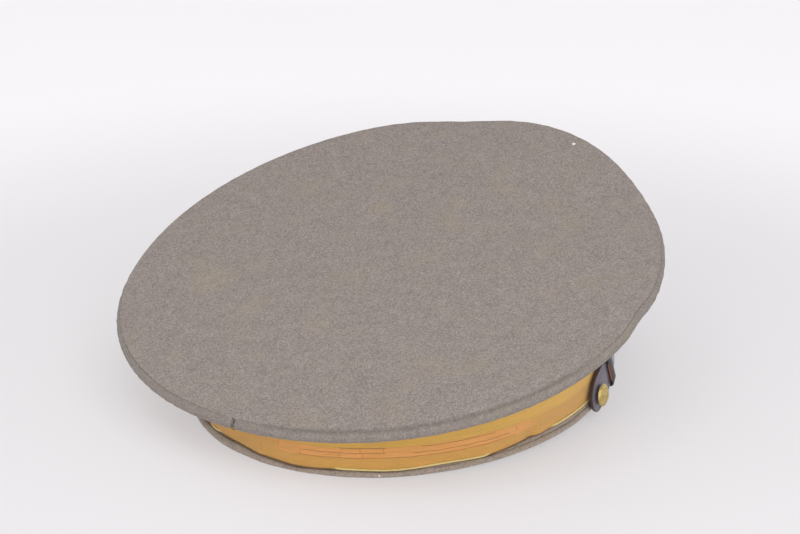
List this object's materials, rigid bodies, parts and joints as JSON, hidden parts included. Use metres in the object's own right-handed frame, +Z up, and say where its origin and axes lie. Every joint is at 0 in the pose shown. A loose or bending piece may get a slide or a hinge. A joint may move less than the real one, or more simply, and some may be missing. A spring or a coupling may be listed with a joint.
{
  "type": "officer cap",
  "caption": "Officer's peaked cap: a wide flat crown that rises to the front, a stiff band with a woven ribbon, a short peak and a buttoned leather chin strap, resting on its band.",
  "frame": {"origin": "middle of the cap's plan on the surface that it rests on", "axes": "+X to the front of the cap, +Y to the wearer's left, +Z up from the surface that it rests on"},
  "size_m": [0.2646, 0.2503, 0.1005],
  "materials": {
    "twill": "matt grey wool twill",
    "ribbon": "gold woven ribbon with a soft sheen",
    "leather": "black patent leather, worn to a soft gloss",
    "brass": "tarnished, satin"
  },
  "bodies": {
    "root": {"crown_top": "twill", "crown_side_left": "twill", "crown_side_right": "twill", "cap_band": "twill", "band_ribbon": "ribbon", "lower_welt": "twill", "peak": "leather", "chin_strap": "leather", "keeper_right": "leather", "keeper_left": "leather", "button_right": "brass", "button_left": "brass"}
  },
  "joints": []
}
